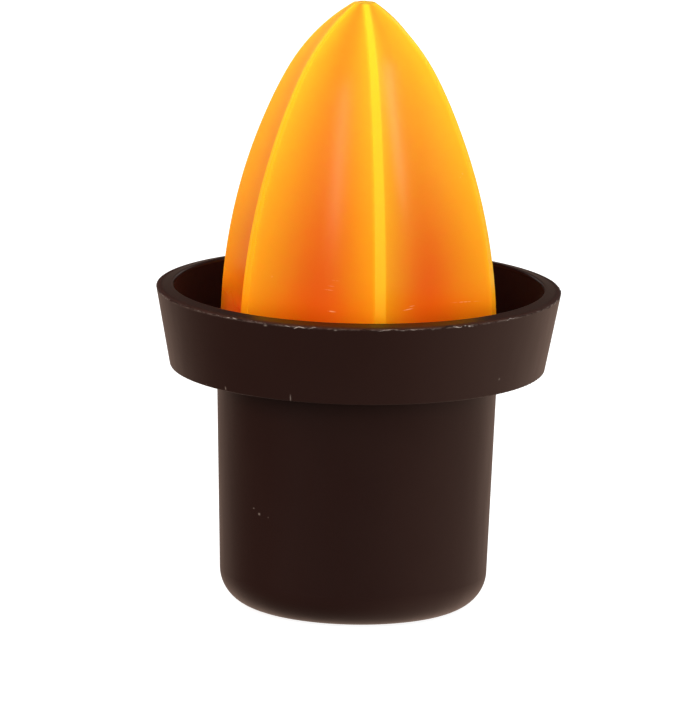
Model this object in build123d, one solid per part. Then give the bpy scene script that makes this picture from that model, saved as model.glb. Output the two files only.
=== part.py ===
from build123d import *
from math import asin, cos, degrees, pi, radians, sin
import os

# A citrus reamer in four pieces. A hollow fluted cone stands in a flared catch bowl, over a pip
# strainer, and the bowl plugs into the mouth of a juice cup. Each piece lifts off the one below it.
# Lengths are in millimetres and angles in degrees. The origin is the centre of the cup's foot,
# +Z points up, and one ridge of the cone faces -Y.

# Reamer cone, whose foot radius sets how wide the bowl and the cup are
flute_count = 6
cone_radius = 36.1
cone_height = 88.2
skirt_height = 6.1
tip_radius = 2.8
tip_round = 0.4
belly_end_angle = 28.1
nose_end_angle = 57.4
foot_land = 2.7
tip_land = 1.25
valley_foot_share = 0.768
valley_tip_share = 0.88
flute_wall = 2.2
ridge_wall = 4.9
tip_wall = 9.0
drain_arch_width = 9.0
drain_arch_height = 2.6
belly_section_count = 6
nose_section_count = 5

# Juice cup, whose mouth lies a little inside the cone's foot so that the cone stands over its wall
cup_height = 59.8
mouth_inset = 1.4
cup_taper = 1.9
cup_mouth_radius = cone_radius - mouth_inset
cup_foot_radius = cup_mouth_radius - cup_taper
cup_wall = 2.6
cup_floor = 3.2
cup_edge_radius = 8.7
cup_mouth_round = 0.5
foot_ring_width = 6.1
foot_recess_radius = cup_foot_radius - cup_edge_radius - foot_ring_width
foot_recess_depth = 0.9
foot_recess_round = 0.6

# Catch bowl, which leaves a trough all round the cone
bowl_height = 19.5
bowl_reach = 10.2
bowl_flare = 3.7
bowl_foot_radius = cone_radius + bowl_reach
bowl_rim_radius = bowl_foot_radius + bowl_flare
bowl_wall = 4.1
bowl_floor = 3.0
bowl_inner_round = 3.2
bowl_lower_edge_round = 0.4
rim_rise = 0.9
rim_outer_round = 0.25
rim_inner_round = 0.5

# Spigot under the bowl, which plugs into the cup and carries the strainer on its lip
spigot_length = 7.0
spigot_clearance = 0.3
spigot_lip_width = 2.2
spigot_lip_height = 1.6
spigot_edge_round = 0.6

# Pip strainer
strainer_clearance = 0.3
strainer_floor = 1.5
strainer_rim_height = 5.0
strainer_rim_wall = 1.3
strainer_edge_round = 0.4
slot_width = 1.8
slot_land = 1.6
slot_ring_shares = ((0.70, 1.0), (0.37, 0.62), (0.13, 0.29))

# Drive pins on the bowl's floor, one inside each hollow ridge of the cone
pin_radius = 1.3
pin_height = 5.0
pin_round = 0.6
pin_edge = 0.6
pin_clearance = 0.5

# One overrun serves every cut that runs past a face
overrun = 1.0

# Heights and radii that follow from the sizes above
floor_height = cup_height + bowl_floor
rim_height = cup_height + bowl_height
rim_crest = rim_height + rim_rise
spigot_foot_height = cup_height - spigot_length
strainer_seat_height = spigot_foot_height + spigot_lip_height
skirt_top = floor_height + skirt_height
tip_level = floor_height + cone_height
ridge_pitch = 360 / flute_count
first_ridge_angle = -90


def cup_side(height):
    """Outer radius of the cup's tapered side at a height."""
    return cup_foot_radius + (cup_mouth_radius - cup_foot_radius) * height / cup_height


def bowl_side(height):
    """Outer radius of the bowl's flared side at a height."""
    return bowl_foot_radius + (bowl_rim_radius - bowl_foot_radius) * (height - cup_height) / bowl_height


def spigot_side(height):
    """Outer radius of the spigot, which follows the inside of the cup at its clearance."""
    return cup_side(height) - cup_wall - spigot_clearance


# The hollow of each ridge clears its pin all round, the well lies a little inside the pins, and the
# strainer fits the well
hollow_land = 2 * (pin_radius + pin_clearance)
pin_circle = cone_radius - ridge_wall - pin_clearance - pin_radius
well_radius = pin_circle - pin_radius - pin_edge
strainer_radius = well_radius - strainer_clearance


def plug(low_radius, high_radius, low, high):
    """A round upright plug between two heights."""
    upright = (Align.CENTER, Align.CENTER, Align.MIN)
    if low_radius == high_radius:
        return Pos(0, 0, low) * Cylinder(low_radius, high - low, align=upright)
    return Pos(0, 0, low) * Cone(low_radius, high_radius, high - low, align=upright)


def round_edges(solid, height):
    """The circular edges of a solid that lie at a height, from the inside out."""
    level = [edge for edge in solid.edges() if abs(edge.center().Z - height) < overrun / 100]
    return sorted((edge for edge in level if edge.geom_type == GeomType.CIRCLE), key=lambda edge: edge.radius)


def juice_cup():
    """The beaker that stands on the table: a tapered side, a well rounded foot and a shallow recess under it."""
    body = plug(cup_foot_radius, cup_mouth_radius, 0, cup_height)
    body = fillet(round_edges(body, 0), cup_edge_radius)
    inside_floor_radius = cup_side(cup_floor) - cup_wall
    hollow = plug(inside_floor_radius, cup_mouth_radius - cup_wall, cup_floor, cup_height)
    hollow = fillet(round_edges(hollow, cup_floor), cup_edge_radius - cup_wall)
    body -= hollow
    body -= plug(foot_recess_radius, foot_recess_radius, 0, foot_recess_depth)
    body = fillet(round_edges(body, 0)[0], foot_recess_round)
    return fillet(round_edges(body, cup_height)[1], cup_mouth_round)


def flared_bowl():
    """The bowl's flared wall and flat floor, with a thick rim whose top rises a little inward."""
    inner_rim_radius = bowl_rim_radius - bowl_wall
    body = plug(bowl_foot_radius, bowl_rim_radius, cup_height, rim_height)
    body += plug(bowl_rim_radius, inner_rim_radius, rim_height, rim_crest)
    body = fillet(round_edges(body, cup_height), bowl_lower_edge_round)
    floor_radius = bowl_side(floor_height) - bowl_wall
    hollow = plug(floor_radius, inner_rim_radius, floor_height, rim_crest)
    body -= fillet(round_edges(hollow, floor_height), bowl_inner_round)
    body = fillet(round_edges(body, rim_height), rim_outer_round)
    return fillet(round_edges(body, rim_crest), rim_inner_round)


def spigot():
    """The ring under the bowl that plugs into the cup, rounded where it enters."""
    ring = plug(spigot_side(spigot_foot_height), spigot_side(cup_height), spigot_foot_height, cup_height)
    return fillet(round_edges(ring, spigot_foot_height), spigot_edge_round)


def drive_pin(place):
    """One upright pin with a rounded top, standing on the bowl's floor."""
    pin = plug(pin_radius, pin_radius, floor_height, floor_height + pin_height)
    pin = fillet(round_edges(pin, floor_height + pin_height), pin_round)
    return Pos(place.X, place.Y, 0) * pin


def catch_bowl():
    """The flared bowl with its spigot, the well through both, the strainer's lip and the drive pins."""
    body = flared_bowl() + spigot()
    body -= plug(well_radius, well_radius, strainer_seat_height, floor_height + overrun)
    lip_radius = well_radius - spigot_lip_width
    body -= plug(lip_radius, lip_radius, spigot_foot_height - overrun, floor_height)
    for n in range(flute_count):
        body += drive_pin(polar(pin_circle, first_ridge_angle + n * ridge_pitch))
    return body


def slot_ring(inner_radius, outer_radius):
    """One ring of radial slots between two radii, as many as fit round the inner one with a land between them."""
    count = int(2 * pi * inner_radius / (slot_width + slot_land))
    slot = SlotOverall(outer_radius - inner_radius, slot_width)
    middle = (inner_radius + outer_radius) / 2
    places = [Rot(0, 0, 360 / count * n) * Pos(middle, 0, 0) for n in range(count)]
    return Sketch() + [place * slot for place in places]


def pip_strainer():
    """A slotted tray with an upright rim, which rests on the spigot's lip."""
    top = strainer_seat_height + strainer_rim_height
    body = plug(strainer_radius, strainer_radius, strainer_seat_height, top)
    inside = strainer_radius - strainer_rim_wall
    tray_floor = strainer_seat_height + strainer_floor
    hollow = plug(inside, inside, tray_floor, top)
    body -= fillet(round_edges(hollow, tray_floor), strainer_edge_round)
    reach = well_radius - spigot_lip_width - slot_land
    for inner_share, outer_share in slot_ring_shares:
        ring = slot_ring(reach * inner_share, reach * outer_share)
        body -= Pos(0, 0, strainer_seat_height) * extrude(ring, strainer_floor)
    return body


def polar(radius, angle):
    """A point in the horizontal plane."""
    return Vector(radius * cos(radians(angle)), radius * sin(radians(angle)), 0)


def ridge_arcs():
    """Radii of the ridge line's belly arc and nose arc.

    The belly leaves the skirt upright, the nose follows it without a corner, and the end angles say how
    far each has turned from upright. The two radii are then the ones that reach from skirt to tip.
    """
    belly_in = 1 - cos(radians(belly_end_angle))
    belly_up = sin(radians(belly_end_angle))
    nose_in = cos(radians(belly_end_angle)) - cos(radians(nose_end_angle))
    nose_up = sin(radians(nose_end_angle)) - belly_up
    reach_in = cone_radius - tip_radius
    reach_up = tip_level - skirt_top
    spread = belly_in * nose_up - nose_in * belly_up
    belly = (reach_in * nose_up - reach_up * nose_in) / spread
    nose = (belly_in * reach_up - belly_up * reach_in) / spread
    return belly, nose


def ridge_line():
    """Points of the ridge line as radius and height: the upright skirt, the belly and the nose."""
    belly, nose = ridge_arcs()
    points = [(cone_radius, floor_height), (cone_radius, (floor_height + skirt_top) / 2)]
    middle, level = cone_radius - belly, skirt_top
    for n in range(belly_section_count):
        turn = radians(belly_end_angle * n / belly_section_count)
        points.append((middle + belly * cos(turn), level + belly * sin(turn)))
    middle += (belly - nose) * cos(radians(belly_end_angle))
    level += (belly - nose) * sin(radians(belly_end_angle))
    for n in range(nose_section_count):
        turn = radians(belly_end_angle + (nose_end_angle - belly_end_angle) * n / nose_section_count)
        points.append((middle + nose * cos(turn), level + nose * sin(turn)))
    return points + [(tip_radius, tip_level)]


def fullness(ridge):
    """How far up the cone's swell a ridge radius lies, from 0 at the tip to 1 at the foot."""
    return (ridge - tip_radius) / (cone_radius - tip_radius)


def land_width(ridge):
    """Width of a ridge's flat crest where the ridge has this radius."""
    return tip_land + (foot_land - tip_land) * fullness(ridge)


def valley_radius(ridge):
    """Radius at the bottom of a flute where the ridge has this radius."""
    return ridge * (valley_tip_share + (valley_foot_share - valley_tip_share) * fullness(ridge))


def fluted_face(ridge, valley, land, height):
    """A closed section of the cone: crests of one width, joined by hollow arcs."""
    half_land = degrees(asin(land / 2 / ridge))
    edges = []
    for n in range(flute_count):
        middle = first_ridge_angle + n * ridge_pitch
        start = polar(ridge, middle - half_land)
        end = polar(ridge, middle + half_land)
        next_start = polar(ridge, middle + ridge_pitch - half_land)
        edges.append(Edge.make_three_point_arc(start, polar(ridge, middle), end))
        edges.append(Edge.make_three_point_arc(end, polar(valley, middle + ridge_pitch / 2), next_start))
    return Pos(0, 0, height) * Face(Wire(edges))


def reamer_cone():
    """The hollow cone: lofted flutes that fade towards the tip, and a drain arch at the foot of each flute."""
    line = ridge_line()
    shell = loft([fluted_face(r, valley_radius(r), land_width(r), z) for r, z in line])
    shell = fillet(shell.faces().sort_by(Axis.Z)[-1].edges(), tip_round)
    inner = [(r, z) for r, z in line if z < tip_level - tip_wall]
    hollow = loft([fluted_face(r - ridge_wall, valley_radius(r) - flute_wall, hollow_land * fullness(r), z)
                   for r, z in inner])
    shell -= hollow
    arch = extrude(Plane.YZ * SlotOverall(drain_arch_width, 2 * drain_arch_height), cone_radius)
    for n in range(flute_count):
        turn = first_ridge_angle + (n + 1 / 2) * ridge_pitch
        shell -= Pos(0, 0, floor_height) * Rot(0, 0, turn) * arch
    return shell


PIECES = {
    "juice_cup": juice_cup,
    "catch_bowl": catch_bowl,
    "pip_strainer": pip_strainer,
    "reamer_cone": reamer_cone,
}

os.makedirs("parts", exist_ok=True)
for name, make in PIECES.items():
    piece = make()
    piece.label = name
    export_step(piece, "parts/" + name + ".step")
    print(name, "solids", len(piece.solids()), "volume", round(piece.volume), "valid", piece.is_valid)
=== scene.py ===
"""Looks of a citrus squeezer: finishes, small moulding marks, studio and camera around its CAD model.

Lengths are in metres. In the finishes a turn is the angle about the Z axis in radians, 0 at the front ridge
and growing to the right. A ramp is the pair of levels where a smooth step starts and ends.
"""

import logging
import math
from dataclasses import dataclass, field
from enum import Enum
from typing import Any

import bpy
from mathutils import Matrix, Vector


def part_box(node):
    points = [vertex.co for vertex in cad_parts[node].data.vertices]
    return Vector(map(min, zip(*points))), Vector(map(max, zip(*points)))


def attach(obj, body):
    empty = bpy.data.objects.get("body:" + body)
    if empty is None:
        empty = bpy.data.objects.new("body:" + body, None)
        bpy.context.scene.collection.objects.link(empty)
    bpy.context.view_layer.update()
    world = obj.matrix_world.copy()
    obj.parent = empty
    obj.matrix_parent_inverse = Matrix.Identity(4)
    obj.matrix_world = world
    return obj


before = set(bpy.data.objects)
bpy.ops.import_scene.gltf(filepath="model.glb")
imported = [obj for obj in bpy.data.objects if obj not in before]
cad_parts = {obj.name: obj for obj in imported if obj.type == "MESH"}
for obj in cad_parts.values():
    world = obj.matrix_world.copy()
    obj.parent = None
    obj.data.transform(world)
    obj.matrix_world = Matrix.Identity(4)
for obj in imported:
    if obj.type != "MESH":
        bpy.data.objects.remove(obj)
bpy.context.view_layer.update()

LOG = logging.getLogger("squeezer")
MM = 0.001

Colour = tuple[float, float, float]
Point = tuple[float, float, float]
Ramp = tuple[float, float]

BLACK: Colour = (0.0, 0.0, 0.0)
WHITE: Colour = (1.0, 1.0, 1.0)
PLASTIC_REFRACTION = 1.46
NOISE_MIDDLE = 0.5

# Sockets of a colour mix, by number because their names repeat
MIX_SHARE = 0
MIX_FIRST = 6
MIX_SECOND = 7
MIX_RESULT = 2


class Body(Enum):
    """The rigid bodies that pieces ride on."""

    CUP = "cup"
    BOWL = "bowl"
    STRAINER = "strainer"
    CONE = "cone"


class Way(Enum):
    """The ways in which a surface is pushed."""

    OUT = "NORMAL"
    UP = "Z"


@dataclass(frozen=True)
class Cloud:
    """A cloudy pattern: its blotches' size, its octaves, and how each axis is multiplied beforehand."""

    size: float
    detail: float = 2.0
    rough: float = 0.5
    stretch: Point | None = None


class Value:
    """A shader socket that works in a Python expression."""

    def __init__(self, graph: "Graph", socket: Any) -> None:
        """Keep an output socket and the graph that new nodes go into."""
        self.graph = graph
        self.socket = socket

    def math(self, operation: str, *others: Any, first: Any = None) -> "Value":
        """This value and others in a Math node, or with one input before it for a reflected operator."""
        inputs = ([] if first is None else [first]) + [self, *others]
        return self.graph.value("ShaderNodeMath", {"operation": operation}, dict(enumerate(inputs)))

    def __add__(self, other: Any) -> "Value":
        """Sum."""
        return self.math("ADD", other)

    __radd__ = __add__

    def __sub__(self, other: Any) -> "Value":
        """Difference."""
        return self.math("SUBTRACT", other)

    def __rsub__(self, other: Any) -> "Value":
        """Difference, with this value taken away."""
        return self.math("SUBTRACT", first=other)

    def __mul__(self, other: Any) -> "Value":
        """Product."""
        return self.math("MULTIPLY", other)

    __rmul__ = __mul__

    def __truediv__(self, other: Any) -> "Value":
        """Quotient."""
        return self.math("DIVIDE", other)

    def __pow__(self, other: Any) -> "Value":
        """Power."""
        return self.math("POWER", other)

    def __abs__(self) -> "Value":
        """Size without its sign."""
        return self.math("ABSOLUTE")

    def greatest(self, other: Any) -> "Value":
        """The larger of two values."""
        return self.math("MAXIMUM", other)

    def least(self, other: Any) -> "Value":
        """The smaller of two values."""
        return self.math("MINIMUM", other)

    def rise(self, low: float, high: float) -> "Value":
        """A smooth step from 0 at one level to 1 at another.

        Args:
            low: Where the step is still 0.
            high: Where it has reached 1.

        Returns:
            The step, from 0 to 1.
        """
        settings = {"interpolation_type": "SMOOTHSTEP", "clamp": True}
        inputs = {"Value": self, "From Min": low, "From Max": high}
        return self.graph.value("ShaderNodeMapRange", settings, inputs)

    def band(self, centre: float, half_width: float) -> "Value":
        """A soft band that is 1 at its centre and 0 a half width away from it."""
        return 1 - abs(self - centre).rise(0.0, half_width)

    def swing(self, amount: float) -> "Value":
        """Noise about 0 instead of about its middle, times an amount."""
        return (self - NOISE_MIDDLE) * amount


class Graph:
    """The nodes of a material or of the surroundings, built by expressions."""

    def __init__(self, owner: Any) -> None:
        """Empty the owner's nodes.

        Args:
            owner: The material or world that the nodes belong to.
        """
        self.owner = owner
        self.owner.use_nodes = True
        self.tree = self.owner.node_tree
        self.tree.nodes.clear()

    @classmethod
    def material(cls, name: str) -> "Graph":
        """Start a new material of a name."""
        return cls(bpy.data.materials.new(name))

    def node(self, kind: str, settings: dict[str, Any], inputs: dict[Any, Any]) -> Any:
        """Add a node, with its settings first and then its inputs.

        Args:
            kind: The node's type name.
            settings: Properties of the node itself.
            inputs: Values or links by socket name or number.

        Returns:
            The new node.
        """
        made = self.tree.nodes.new(kind)
        for key, setting in settings.items():
            setattr(made, key, setting)
        for key, given in inputs.items():
            target = made.inputs[key]
            if isinstance(given, Value):
                self.tree.links.new(given.socket, target)
            else:
                target.default_value = given
        return made

    def value(self, kind: str, settings: dict[str, Any], inputs: dict[Any, Any], output: Any = 0) -> Value:
        """Add a node and give one of its outputs, by name or number."""
        return Value(self, self.node(kind, settings, inputs).outputs[output])

    def place(self) -> Value:
        """The point on the surface in the object's own metres."""
        return self.value("ShaderNodeTexCoord", {}, {}, "Object")

    def axes(self, point: Value) -> tuple[Value, Value, Value]:
        """Split a point into its X, Y and Z."""
        split = self.node("ShaderNodeSeparateXYZ", {}, {"Vector": point})
        return tuple(Value(self, output) for output in split.outputs)

    def around(self, point: Value) -> tuple[Value, Value, Value]:
        """A point's turn, radius and height about the Z axis."""
        x, y, z = self.axes(point)
        return x.math("ARCTAN2", y * -1), (x * x + y * y) ** 0.5, z

    def noise(self, point: Value, cloud: Cloud) -> Value:
        """Cloudy noise around its middle.

        Args:
            point: Where to read it.
            cloud: The pattern.

        Returns:
            The noise, from 0 to 1.
        """
        if cloud.stretch is not None:
            inputs = {"Vector": point, "Scale": cloud.stretch}
            point = self.value("ShaderNodeMapping", {"vector_type": "POINT"}, inputs)
        inputs = {"Vector": point, "Scale": 1 / cloud.size, "Detail": cloud.detail, "Roughness": cloud.rough}
        return self.value("ShaderNodeTexNoise", {"noise_dimensions": "3D"}, inputs)

    def scatter(self, point: Value, spacing: float) -> tuple[Value, Value]:
        """Points scattered at random, but the same in each run.

        Args:
            point: Where to read them.
            spacing: Metres from one to the next.

        Returns:
            The distance to the nearest one, in spacings, and its own number from 0 to 1.
        """
        inputs = {"Vector": point, "Scale": 1 / spacing, "Randomness": 1.0}
        cells = self.node("ShaderNodeTexVoronoi", {"feature": "F1"}, inputs)
        tone = self.node("ShaderNodeSeparateColor", {}, {"Color": Value(self, cells.outputs["Color"])})
        return Value(self, cells.outputs["Distance"]), Value(self, tone.outputs["Red"])

    def mix(self, share: Any, first: Any, second: Any) -> Value:
        """Blend two colours.

        Args:
            share: How much of the second colour, from 0 to 1.
            first: The colour where the share is 0.
            second: The colour where the share is 1.

        Returns:
            The blended colour.
        """
        ends = [(*end, 1.0) if isinstance(end, tuple) else end for end in (first, second)]
        inputs = {MIX_SHARE: share, MIX_FIRST: ends[0], MIX_SECOND: ends[1]}
        return self.value("ShaderNodeMix", {"data_type": "RGBA"}, inputs, MIX_RESULT)

    def bump(self, height: Value, depth: float) -> Value:
        """A normal tilted by a height pattern from 0 to 1, where a step of 1 stands a depth proud."""
        return self.value("ShaderNodeBump", {}, {"Height": height, "Distance": depth, "Strength": 1.0})

    def finish(self, **sockets: Any) -> bpy.types.Material:
        """Close the material with a Principled shader.

        Args:
            sockets: The shader's inputs, with underscores for spaces.

        Returns:
            The finished material.
        """
        inputs = {key.replace("_", " "): given for key, given in sockets.items()}
        shader = self.value("ShaderNodeBsdfPrincipled", {"subsurface_method": "RANDOM_WALK"}, inputs)
        self.node("ShaderNodeOutputMaterial", {}, {"Surface": shader})
        return self.owner


@dataclass(frozen=True)
class Mark:
    """A small pale mark: a soft patch with half sizes round the axis and upwards."""

    turn: float
    height: float
    half_turn: float
    half_height: float
    strength: float = 1.0

    def cover(self, turn: Value, height: Value) -> Value:
        """The share of the mark's colour at a turn and a height."""
        patch = turn.band(self.turn, self.half_turn) * height.band(self.height, self.half_height)
        return patch * self.strength


@dataclass(frozen=True)
class Sector:
    """A stretch of turns with a soft start and a soft end."""

    start: Ramp
    end: Ramp

    def cover(self, turn: Value) -> Value:
        """1 inside the sector and 0 outside it."""
        return turn.rise(*self.start) * (1 - turn.rise(*self.end))


@dataclass(frozen=True)
class Rim:
    """Where a bowl's finish changes: at the edge of its rim, and inside a funnel about the Z axis, where shade
    is painted.

    The radius and height are the rim edge's. The funnel, its hollow, is given by its radius at height 0 and
    its growth per metre of height.
    """

    radius: float
    height: float
    hollow_radius: float
    hollow_growth: float


@dataclass(frozen=True)
class BrownPlastic:
    """Dark brown moulded plastic with a fine matt grain, pale flecks, and a worn rim with painted light and
    shade if it has one.

    The crown is the rim's top, painted lighter as light falls on it, and the lip the part of its inside that
    catches light. Their ramps are heights above the rim's edge, the hollow's is a distance out from the
    funnel, and the worn reach is a distance from the edge. The hollow is painted dark maroon as shade. The
    fleck's reach is in spacings, and its choice picks some scattered points.
    """

    name: str = "brown_plastic"
    body_colour: Colour = (0.0200, 0.0064, 0.0045)
    cloud_colour: Colour = (0.0222, 0.0076, 0.0053)
    # Painted light: the rim's top is coloured lighter, as if lit from above
    crown_light_colour: Colour = (0.0430, 0.0125, 0.0082)
    # Painted shade: the bowl's inside is coloured dark maroon, as if in shade
    hollow_shade_colour: Colour = (0.0125, 0.0002, 0.0001)
    worn_colour: Colour = (0.0900, 0.0600, 0.0480)
    fleck_colour: Colour = (0.1900, 0.1500, 0.1250)
    roughness: float = 0.40
    streak_roughness: float = 0.10
    cloud_roughness: float = 0.08
    crown_roughness: float = 0.30
    hollow_roughness: float = 0.95
    lip_roughness: float = 0.28
    clouds: Cloud = Cloud(30.0 * MM, detail=3.0)
    cloud_ramp: Ramp = (0.35, 0.75)
    streaks: Cloud = Cloud(3.5 * MM, stretch=(1.0, 1.0, 0.18))
    grain: Cloud = Cloud(0.35 * MM, detail=1.0)
    grain_depth: float = 0.012 * MM
    crown_ramp: Ramp = (-0.3 * MM, 0.1 * MM)
    lip_ramp: Ramp = (-0.1 * MM, 0.2 * MM)
    hollow_ramp: Ramp = (-0.9 * MM, 0.9 * MM)
    ragged: Cloud = Cloud(2.2 * MM, detail=3.0, rough=0.7)
    worn_reach: Ramp = (0.14 * MM, 0.40 * MM)
    worn_ramp: Ramp = (0.38, 0.62)
    fleck_spacing: float = 16.0 * MM
    fleck_reach: Ramp = (0.018, 0.036)
    fleck_choice: Ramp = (0.84, 0.88)
    nicks: tuple[Mark, ...] = ()
    nick_ramp: Ramp = (0.25, 0.50)

    def build(self, rim: Rim | None = None) -> bpy.types.Material:
        """Make the material.

        Args:
            rim: The rim that the wear and the darker inside follow, for a piece that has one.

        Returns:
            The finished material.
        """
        graph = Graph.material(self.name)
        point = graph.place()
        turn, radius, z = graph.around(point)
        clouds = graph.noise(point, self.clouds)
        streaks = graph.noise(point, self.streaks)
        ragged = graph.noise(point, self.ragged)
        colour = graph.mix(clouds.rise(*self.cloud_ramp), self.body_colour, self.cloud_colour)
        rough = self.roughness + streaks.swing(self.streak_roughness) + clouds.swing(self.cloud_roughness)
        if rim is not None:
            above_edge = z - rim.height
            past_edge = radius - rim.radius
            # Painted light on the rim's top: its colour is lighter where light falls on it
            crown = above_edge.rise(*self.crown_ramp)
            colour = graph.mix(crown, colour, self.crown_light_colour)
            rough = rough + crown * self.crown_roughness
            # Painted shade inside the bowl: the colour there goes dark maroon
            inside = 1 - (radius - (z * rim.hollow_growth + rim.hollow_radius)).rise(*self.hollow_ramp)
            lip = above_edge.rise(*self.lip_ramp)
            inside_rough = self.hollow_roughness + lip * (self.lip_roughness - self.hollow_roughness)
            colour = graph.mix(inside, colour, self.hollow_shade_colour)
            rough = rough * (1 - inside) + inside_rough * inside
            wear = 1 - ((past_edge * past_edge + above_edge * above_edge) ** 0.5).rise(*self.worn_reach)
            colour = graph.mix(wear * ragged.rise(*self.worn_ramp), colour, self.worn_colour)
        nearest, tone = graph.scatter(point, self.fleck_spacing)
        fleck = (1 - nearest.rise(*self.fleck_reach)) * tone.rise(*self.fleck_choice)
        colour = graph.mix(fleck, colour, self.fleck_colour)
        for nick in self.nicks:
            colour = graph.mix(nick.cover(turn, z) * ragged.rise(*self.nick_ramp), colour, self.fleck_colour)
        normal = graph.bump(graph.noise(point, self.grain), self.grain_depth)
        return graph.finish(Base_Color=colour, Roughness=rough, Normal=normal, IOR=PLASTIC_REFRACTION)


@dataclass(frozen=True)
class OrangePlastic:
    """Tinted orange plastic with painted light and shade: yellow crests, deeper orange flutes and foot.

    The colours change from their foot tones to their top ones, from a start above the foot to an end above the
    tip; the valleys and the foot are darker as painted shade. The crest's yellow is partly a painted
    highlight, full in front, less at the right side and least elsewhere. The right flutes and the one at the
    back left are paler higher up, which is painted light, and that one is duller too. Near the foot the colour
    goes to a painted deep red, the plastic shaded by the bowl with light coming through its wall, and on
    either side a faint red glow stands for the light that comes through the wall. Reaches are heights above
    the foot.
    """

    name: str = "orange_plastic"
    crest_top: Colour = (1.0, 0.63, 0.014)
    crest_foot: Colour = (1.0, 0.46, 0.007)
    flank_top: Colour = (1.0, 0.53, 0.009)
    flank_foot: Colour = (0.96, 0.37, 0.004)
    valley_top: Colour = (0.86, 0.30, 0.005)
    valley_foot: Colour = (0.76, 0.095, 0.001)
    # Painted light and shade: the deep red of the foot, shaded by the bowl with light coming through the wall
    foot_painted_red: Colour = (1.0, 0.120, 0.001)
    glow_colour: Colour = (1.0, 0.035, 0.01)
    mark_colour: Colour = (1.0, 0.46, 0.24)
    clouds: Cloud = Cloud(20.0 * MM)
    cloud_height: float = 0.06
    cloud_depth: float = 0.05
    start_above_foot: float = 6.0 * MM
    end_above_tip: float = 4.0 * MM
    crest_ramp: Ramp = (-0.5 * MM, 0.8 * MM)
    crest_yellow: float = 0.45
    # Painted highlight: the crests are yellower where they face the front and the right side
    front_turns: Ramp = (0.30, 0.60)
    front_crest_highlight: float = 0.55
    side_turns: Ramp = (0.80, 1.00)
    side_crest_highlight: float = 0.35
    valley_power: float = 1.8
    # Painted light: the right flutes and the back-left one are paler higher up
    right_turns: Ramp = (0.20, 0.60)
    right_start: float = 0.15
    right_painted_light: float = 0.45
    back_left: Sector = Sector((-2.10, -1.98), (-1.16, -1.04))
    back_left_growth: float = 3.0
    back_left_painted_light: float = 0.27
    back_left_dull: float = 0.48
    foot_reach: Ramp = (12.0 * MM, 26.0 * MM)
    foot_share: float = 0.40
    left_glow_reach: Ramp = (10.5 * MM, 15.5 * MM)
    right_glow_reach: Ramp = (8.0 * MM, 12.0 * MM)
    right_glow_turns: Sector = Sector((0.10, 0.45), (1.45, 1.90))
    right_glow_share: float = 0.75
    glow: float = 0.26
    roughness: float = 0.26
    haze: Cloud = Cloud(6.0 * MM, detail=3.0)
    haze_roughness: float = 0.06
    ripples: Cloud = Cloud(1.1 * MM, stretch=(0.12, 0.12, 1.0))
    ripple_depth: float = 0.010 * MM
    cloudiness: float = 0.45
    light_spread: Colour = (1.0, 0.25, 0.03)
    light_depth: float = 4.0 * MM
    breaks: Cloud = Cloud(0.9 * MM, detail=1.0)
    break_ramp: Ramp = (0.30, 0.48)
    # Pale streaks low on the flutes, which the code lightens in broken patches
    pale_streaks: tuple[Mark, ...] = (
        Mark(-0.385, 79.0 * MM, 0.050, 0.22 * MM),
        Mark(0.285, 79.7 * MM, 0.075, 0.18 * MM, strength=0.90),
        Mark(0.330, 80.3 * MM, 0.045, 0.14 * MM, strength=0.60),
        Mark(-0.420, 84.2 * MM, 0.060, 0.16 * MM, strength=0.45),
        Mark(-0.400, 85.2 * MM, 0.045, 0.14 * MM, strength=0.35),
        Mark(-0.360, 86.7 * MM, 0.050, 0.14 * MM, strength=0.30),
        Mark(0.860, 79.8 * MM, 0.120, 0.16 * MM, strength=0.50))

    def build(self, cone: "Cone") -> bpy.types.Material:
        """Make the material for one cone's flutes.

        Args:
            cone: The cone whose crests and height the colour follows.

        Returns:
            The finished material.
        """
        graph = Graph.material(self.name)
        point = graph.place()
        turn, radius, z = graph.around(point)
        above_foot = z - cone.foot_height
        clouds = graph.noise(point, self.clouds)
        height = z.rise(cone.foot_height + self.start_above_foot, cone.tip_height + self.end_above_tip)
        height = height + clouds.swing(self.cloud_height)

        half_pitch = math.pi / cone.flutes
        from_crest = abs(turn.math("WRAP", half_pitch, -half_pitch))
        past_land = from_crest * radius - radius * (cone.land_growth / 2) - cone.tip_land / 2
        # Painted highlight on the crests in front and at the right side
        front = 1 - abs(turn).rise(*self.front_turns)
        side = turn.rise(*self.side_turns)
        yellow = front * self.front_crest_highlight + side * self.side_crest_highlight + self.crest_yellow
        crest = (1 - past_land.rise(*self.crest_ramp)) * yellow

        back_left = self.back_left.cover(turn)
        upper_left = back_left * (height * self.back_left_growth).greatest(0.0).least(1.0)
        upper_right = turn.rise(*self.right_turns) * (height - self.right_start).greatest(0.0)
        # Painted light: paler higher up on the right flutes and the back-left one
        paler = upper_right * self.right_painted_light + upper_left * self.back_left_painted_light
        # Painted shade: the flutes darken towards their valleys
        shallow = (1 - from_crest / half_pitch + clouds.swing(self.cloud_depth)).greatest(0.0)
        depth = (1 - shallow ** self.valley_power) * (1 - paler)

        # Painted shade: the tones darken from the top down towards the foot
        flank = graph.mix(height, self.flank_foot, self.flank_top)
        valley = graph.mix(height, self.valley_foot, self.valley_top)
        colour = graph.mix(depth, flank, valley)
        colour = graph.mix(crest, colour, graph.mix(height, self.crest_foot, self.crest_top))
        # Painted light and shade: near the foot the colour goes to the deep red of the shaded plastic
        near_foot = 1 - above_foot.rise(*self.foot_reach)
        colour = graph.mix(near_foot * self.foot_share, colour, self.foot_painted_red)
        broken = graph.noise(point, self.breaks).rise(*self.break_ramp)
        for pale_streak in self.pale_streaks:
            colour = graph.mix(pale_streak.cover(turn, z) * broken, colour, self.mark_colour)

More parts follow.
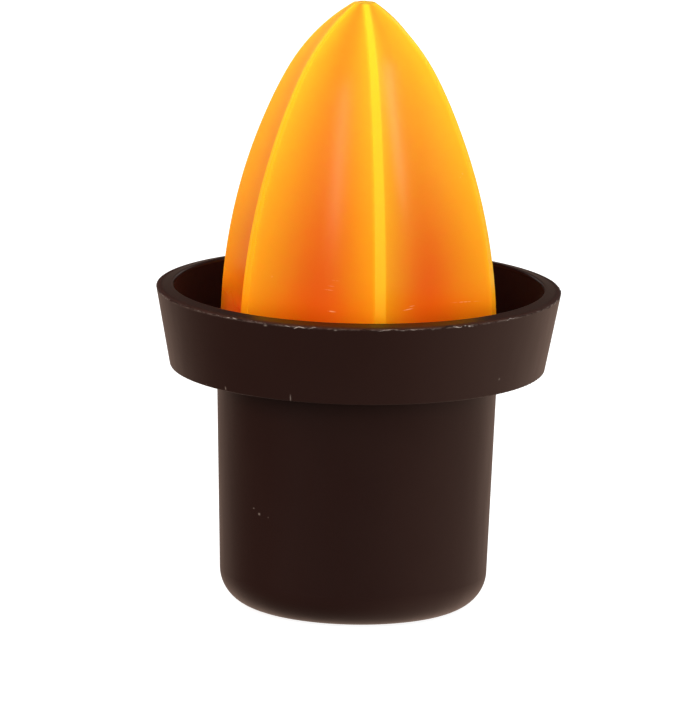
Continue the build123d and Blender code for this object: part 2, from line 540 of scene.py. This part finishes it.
        left_glow = (1 - above_foot.rise(*self.left_glow_reach)) * back_left
        right_glow = (1 - above_foot.rise(*self.right_glow_reach)) * self.right_glow_turns.cover(turn)
        glowing = left_glow.greatest(right_glow * self.right_glow_share)
        lit = graph.mix(glowing, BLACK, self.glow_colour)
        haze = graph.noise(point, self.haze)
        rough = self.roughness + haze.swing(self.haze_roughness) + upper_left * self.back_left_dull
        normal = graph.bump(graph.noise(point, self.ripples), self.ripple_depth)
        return graph.finish(Base_Color=colour, Roughness=rough, Normal=normal, IOR=PLASTIC_REFRACTION,
                            Subsurface_Weight=self.cloudiness, Subsurface_Radius=self.light_spread,
                            Subsurface_Scale=self.light_depth,
                            Emission_Color=lit, Emission_Strength=self.glow)


@dataclass(frozen=True)
class PaleFlash:
    """Stress-whitened edge of the same brown plastic."""

    name: str = "pale_flash"
    pale: Colour = (0.400, 0.330, 0.290)
    dark: Colour = (0.024, 0.009, 0.006)
    patches: Cloud = Cloud(6.0 * MM, detail=3.0, rough=0.6)
    patch_ramp: Ramp = (0.50, 0.60)
    flicker: Cloud = Cloud(1.6 * MM, detail=1.0)
    flicker_ramp: Ramp = (0.38, 0.56)
    fine: Cloud = Cloud(0.7 * MM, detail=1.0)
    fine_roughness: float = 0.20
    fine_depth: float = 0.03 * MM
    roughness: float = 0.55

    def build(self) -> bpy.types.Material:
        """Make the material, pale in patches and near brown between them.

        Returns:
            The finished material.
        """
        graph = Graph.material(self.name)
        point = graph.place()
        patches = graph.noise(point, self.patches).rise(*self.patch_ramp)
        flicker = graph.noise(point, self.flicker).rise(*self.flicker_ramp)
        fine = graph.noise(point, self.fine)
        colour = graph.mix(patches * flicker, self.dark, self.pale)
        rough = self.roughness + fine.swing(self.fine_roughness)
        normal = graph.bump(fine, self.fine_depth)
        return graph.finish(Base_Color=colour, Roughness=rough, Normal=normal, IOR=PLASTIC_REFRACTION)


@dataclass(frozen=True)
class FloorPaint:
    """Plain pale floor, which glows a little so that only a faint shadow shows on it."""

    name: str = "floor_paint"
    colour: Colour = (0.40, 0.40, 0.40)
    cloud_colour: Colour = (0.38, 0.38, 0.38)
    clouds: Cloud = Cloud(0.5, detail=1.0)
    roughness: float = 0.9
    glow: float = 0.88

    def build(self) -> bpy.types.Material:
        """Make the material.

        Returns:
            The finished material.
        """
        graph = Graph.material(self.name)
        colour = graph.mix(graph.noise(graph.place(), self.clouds), self.colour, self.cloud_colour)
        return graph.finish(Base_Color=colour, Roughness=self.roughness,
                            Emission_Color=(*WHITE, 1.0), Emission_Strength=self.glow)


@dataclass
class Moulding:
    """A CAD node that takes a finish, and the body that it rides on."""

    node: str
    body: Body

    def dress(self, material: bpy.types.Material) -> None:
        """Give the node its finish.

        Args:
            material: The finish for all its material slots.
        """
        target = bpy.data.objects[self.node]
        if not target.material_slots:
            target.data.materials.append(material)
        for material_slot in target.material_slots:
            material_slot.material = material


@dataclass
class Cup(Moulding):
    """The brown juice cup."""

    node: str = "juice_cup"
    body: Body = Body.CUP
    finish: BrownPlastic = field(default_factory=lambda: BrownPlastic(nicks=(
        Mark(-0.918, 27.2 * MM, 0.018, 0.50 * MM),
        Mark(-0.975, 28.3 * MM, 0.010, 0.25 * MM),
        Mark(-0.830, 26.8 * MM, 0.006, 0.20 * MM))))

    def build(self) -> None:
        """Dress the cup."""
        self.dress(self.finish.build())


@dataclass(frozen=True)
class Push:
    """A cloudy push of a surface: its full range in metres, and the pattern's value that stays still."""

    name: str
    way: Way
    size: float
    strength: float
    still: float
    octaves: int = 3

    def apply(self, bead: bpy.types.Object, group: str) -> None:
        """Push a bead's surface about.

        Args:
            bead: The selected bead.
            group: Name of the vertex group that weighs the push.
        """
        pattern = bpy.data.textures.new(self.name, "CLOUDS")
        pattern.noise_scale = self.size
        pattern.noise_depth = self.octaves
        push = bead.modifiers.new(self.name, "DISPLACE")
        push.texture = pattern
        push.texture_coords = "LOCAL"
        push.direction = self.way.value
        push.vertex_group = group
        push.strength = self.strength
        push.mid_level = self.still
        bpy.ops.object.modifier_apply(modifier=push.name)


@dataclass
class RimFlash:
    """The thin line of mould flash round the bowl's outer rim edge, ragged in front and at the sides."""

    edge_radius: float
    edge_height: float
    thickness: float = 0.075 * MM
    around: int = 256
    sides: int = 8
    ragged_reach: float = math.radians(80.0)
    clean_reach: float = math.radians(100.0)
    ragged_group: str = "ragged"
    pushes: tuple[Push, ...] = (
        Push("roughen", Way.OUT, size=3.2 * MM, strength=0.22 * MM, still=0.54),
        Push("waver", Way.UP, size=0.9 * MM, strength=2.0 * MM, still=0.50))
    body: Body = Body.BOWL
    finish: PaleFlash = field(default_factory=PaleFlash)

    def weigh(self, bead: bpy.types.Object) -> None:
        """Give the bead a vertex group that fades out towards the back, where the edge came out clean.

        Args:
            bead: The bead, a ring about the Z axis.
        """
        group = bead.vertex_groups.new(name=self.ragged_group)
        for vertex in bead.data.vertices:
            turn = abs(math.atan2(vertex.co.x, -vertex.co.y))
            share = (self.clean_reach - turn) / (self.clean_reach - self.ragged_reach)
            group.add([vertex.index], min(max(share, 0.0), 1.0), "REPLACE")

    def build(self) -> None:
        """Make the bead, roughen it and let it ride on the bowl."""
        bpy.ops.object.select_all(action="DESELECT")
        bpy.ops.mesh.primitive_torus_add(major_segments=self.around, minor_segments=self.sides,
                                         major_radius=self.edge_radius, minor_radius=self.thickness,
                                         location=(0.0, 0.0, self.edge_height))
        bead = bpy.context.active_object
        bead.name = "rim_flash"
        bpy.ops.object.transform_apply(location=True, rotation=True, scale=True)
        self.weigh(bead)
        for push in self.pushes:
            push.apply(bead, self.ragged_group)
        bpy.ops.object.shade_smooth()
        bead.data.materials.append(self.finish.build())
        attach(bead, self.body.value)
        LOG.info("made %s", bead.name)


@dataclass
class Bowl(Moulding):
    """The brown catch bowl with its flared wall and a rim that rises a little inward from its outer edge."""

    node: str = "catch_bowl"
    body: Body = Body.BOWL
    rim_radius: float = 50.0 * MM
    rim_rise: float = 0.8 * MM
    edge_round: float = 0.25 * MM
    wall: float = 4.1 * MM
    wall_height: float = 19.5 * MM
    flare: float = 3.7 * MM
    hollow_reach: float = 2.9 * MM
    finish: BrownPlastic = field(default_factory=lambda: BrownPlastic(name="brown_plastic_bowl", nicks=(
        Mark(-0.505, 60.6 * MM, 0.005, 1.30 * MM),
        Mark(-0.913, 60.6 * MM, 0.007, 0.70 * MM),
        Mark(-1.070, 60.3 * MM, 0.005, 0.40 * MM),
        Mark(-0.260, 79.0 * MM, 0.012, 0.30 * MM),
        Mark(-0.620, 78.8 * MM, 0.014, 0.35 * MM))))

    def build(self) -> None:
        """Dress the bowl, worn at its rim's edge, with painted light on the rim's top and painted shade
        inside, and lay the flash along the rim's edge.
        """
        _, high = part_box(self.node)
        rim_height = high[2] - self.rim_rise
        growth = self.flare / self.wall_height
        hollow_radius = self.rim_radius - self.wall + self.hollow_reach - rim_height * growth
        self.dress(self.finish.build(Rim(self.rim_radius, rim_height, hollow_radius, growth)))
        # The flash lies on the middle of the edge's rounding
        inset = self.edge_round * (1 - math.sqrt(0.5))
        RimFlash(self.rim_radius - inset, rim_height - inset).build()


@dataclass
class Strainer(Moulding):
    """The slotted pip strainer under the cone."""

    node: str = "pip_strainer"
    body: Body = Body.STRAINER
    finish: BrownPlastic = field(default_factory=lambda: BrownPlastic(name="brown_plastic_strainer"))

    def build(self) -> None:
        """Dress the strainer."""
        self.dress(self.finish.build())


@dataclass
class Cone(Moulding):
    """The orange reamer cone, whose crests are flat lands that widen by a share of the radius."""

    node: str = "reamer_cone"
    body: Body = Body.CONE
    flutes: int = 6
    tip_land: float = 1.15 * MM
    land_growth: float = 0.040
    foot_height: float = field(init=False, default=0.0)
    tip_height: float = field(init=False, default=0.0)
    finish: OrangePlastic = field(default_factory=OrangePlastic)

    def build(self) -> None:
        """Dress the cone from its foot to its tip."""
        low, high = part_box(self.node)
        self.foot_height = low[2]
        self.tip_height = high[2]
        self.dress(self.finish.build(self))


@dataclass(frozen=True)
class Softbox:
    """A soft rectangular light, turned to its aim, that may show in gloss."""

    name: str
    place: Point
    width: float
    height: float
    power: float
    in_gloss: bool = True
    colour: Colour = WHITE
    aim: Point = (0.0, 0.0, 0.11)

    def build(self) -> None:
        """Hang the light."""
        lamp = bpy.data.lights.new(self.name, "AREA")
        lamp.shape = "RECTANGLE"
        lamp.size = self.width
        lamp.size_y = self.height
        lamp.energy = self.power
        lamp.color = self.colour
        holder = bpy.data.objects.new(self.name, lamp)
        bpy.context.scene.collection.objects.link(holder)
        holder.location = self.place
        holder.rotation_euler = (Vector(self.aim) - Vector(self.place)).to_track_quat("-Z", "Y").to_euler()
        holder.visible_camera = False
        holder.visible_glossy = self.in_gloss


@dataclass(frozen=True)
class Tent:
    """A light tent: white to the eye, even for matt light, and dim in gloss with a dark side in front.

    Its turns are measured from the X axis, and its ramps are levels of a direction's upward or downward part.
    Low down behind the object the gloss is a little brighter again.
    """

    matt_above: float = 1.10
    matt_below: float = 0.20
    matt_ramp: Ramp = (-0.25, 0.25)
    gloss_dark: float = 0.05
    gloss_bright: float = 0.41
    gloss_tint: Colour = (1.0, 0.70, 0.56)
    high_share: float = 0.40
    low_share: float = 2.0
    low_ramp: Ramp = (0.0, 0.6)
    dark_turn: float = math.radians(-138.67)
    dark_reach: float = math.radians(45.0)
    bright_reach: float = math.radians(175.0)
    behind_turn: float = math.radians(81.33)
    behind_reach: float = math.radians(72.0)
    behind_full: float = math.radians(30.0)
    behind_ramp: Ramp = (-0.05, 0.12)
    behind: float = 0.27

    @staticmethod
    def towards(way: Value, turn: float) -> Value:
        """How far a direction points to a turn: 1 straight at it, -1 straight away."""
        inputs = {0: way, 1: (math.cos(turn), math.sin(turn), 0.0)}
        return way.graph.value("ShaderNodeVectorMath", {"operation": "DOT_PRODUCT"}, inputs, "Value")

    def build(self) -> None:
        """Make the surroundings."""
        world = bpy.data.worlds.new("light_tent")
        bpy.context.scene.world = world
        world.cycles.sampling_method = "NONE"
        graph = Graph(world)
        way = graph.value("ShaderNodeTexCoord", {}, {}, "Generated")
        up = graph.axes(way)[2]
        down = up * -1

        to_dark = self.towards(way, self.dark_turn)
        bright = 1 - to_dark.rise(math.cos(self.bright_reach), math.cos(self.dark_reach))
        low = down.rise(*self.low_ramp) * (self.low_share - self.high_share) + self.high_share
        to_behind = self.towards(way, self.behind_turn)
        behind = to_behind.rise(math.cos(self.behind_reach), math.cos(self.behind_full))
        behind = behind * down.rise(*self.behind_ramp) * self.behind
        gloss = (bright * (self.gloss_bright - self.gloss_dark) + self.gloss_dark) * low + behind
        matt = up.rise(*self.matt_ramp) * (self.matt_above - self.matt_below) + self.matt_below

        rays = graph.node("ShaderNodeLightPath", {}, {})
        is_gloss = Value(graph, rays.outputs["Is Glossy Ray"])
        is_seen = Value(graph, rays.outputs["Is Camera Ray"])
        level = is_gloss * gloss + (1 - is_gloss) * matt
        level = is_seen + (1 - is_seen) * level
        tint = graph.mix(is_gloss, WHITE, self.gloss_tint)
        shade = graph.value("ShaderNodeBackground", {}, {"Color": tint, "Strength": level})
        graph.node("ShaderNodeOutputWorld", {}, {"Surface": shade})


@dataclass
class Studio:
    """Floor, lights and surroundings."""

    floor_size: float = 6.0
    boxes: tuple[Softbox, ...] = (
        Softbox("left_strip", (-0.84, -0.47, 0.42), width=0.10, height=0.50, power=0.60),
        Softbox("right_strip", (0.98, -0.03, 0.42), width=0.11, height=0.50, power=0.62),
        Softbox("left_edge", (-0.42, 0.95, 0.30), width=0.20, height=0.60, power=0.20),
        Softbox("right_edge", (0.66, 0.82, 0.30), width=0.20, height=0.60, power=0.20),
        Softbox("front_fill", (0.21, -1.45, 0.41), width=0.70, height=0.70, power=9.6, in_gloss=False),
        Softbox("left_fill", (-1.18, 0.16, 0.42), width=0.50, height=0.50, power=6.5, in_gloss=False,
                colour=(1.0, 0.62, 0.42)),
        Softbox("right_fill", (0.98, -0.80, 0.42), width=0.50, height=0.50, power=1.6, in_gloss=False))

    def build(self) -> None:
        """Lay the floor, hang the lights and set the surroundings."""
        bpy.ops.object.select_all(action="DESELECT")
        bpy.ops.mesh.primitive_plane_add(size=self.floor_size, location=(0.0, 0.0, 0.0))
        floor = bpy.context.active_object
        floor.name = "floor"
        floor.visible_glossy = False
        floor.visible_diffuse = False
        floor.data.materials.append(FloorPaint().build())
        for box in self.boxes:
            box.build()
        Tent().build()
        bpy.context.scene.view_settings.view_transform = "Standard"


@dataclass
class Camera:
    """The photograph's viewpoint: far away, a little above the rim, and slightly turned."""

    azimuth: float = math.radians(-8.67)
    elevation: float = math.radians(11.71)
    roll: float = math.radians(1.158)
    distance: float = 3.0616
    focal_px: float = 12401.6
    frame_height_px: int = 703
    frame_width_px: int = 680
    sensor_mm: float = 36.0
    target: Point = (0.0, 0.0, 0.075)
    target_px: tuple[float, float] = (358.40, 305.45)

    def build(self) -> None:
        """Place the camera so that the target falls on its pixel."""
        back = Vector((math.sin(self.azimuth) * math.cos(self.elevation),
                       -math.cos(self.azimuth) * math.cos(self.elevation),
                       math.sin(self.elevation)))
        level_right = Vector((math.cos(self.azimuth), math.sin(self.azimuth), 0.0))
        level_up = back.cross(level_right)
        place = Vector(self.target) + back * self.distance
        per_px = self.distance / self.focal_px
        right = math.cos(self.roll) * level_right + math.sin(self.roll) * level_up
        up = math.cos(self.roll) * level_up - math.sin(self.roll) * level_right
        shift_right = (self.frame_width_px / 2 - self.target_px[0]) * per_px
        shift_down = (self.frame_height_px / 2 - self.target_px[1]) * per_px
        aim = Vector(self.target) + right * shift_right - up * shift_down
        view_back = (place - aim).normalized()
        view_right = up.cross(view_back).normalized()
        view_up = view_back.cross(view_right)
        optics = bpy.data.cameras.new("camera")
        optics.sensor_width = self.sensor_mm
        optics.lens = self.focal_px * self.sensor_mm / self.frame_height_px
        holder = bpy.data.objects.new("camera", optics)
        bpy.context.scene.collection.objects.link(holder)
        turn = Matrix((view_right, view_up, view_back)).transposed().to_4x4()
        holder.matrix_world = Matrix.Translation(place) @ turn
        bpy.context.scene.camera = holder


def main() -> None:
    """Build every sub-assembly, then the studio and the camera."""
    logging.basicConfig(level=logging.INFO, format="%(name)s: %(message)s")
    for part in (Cup(), Bowl(), Strainer(), Cone()):
        part.build()
        LOG.info("dressed %s, on body %s, with %s", part.node, part.body.value, part.finish.name)
    Studio().build()
    Camera().build()


if __name__ == "__main__":
    main()
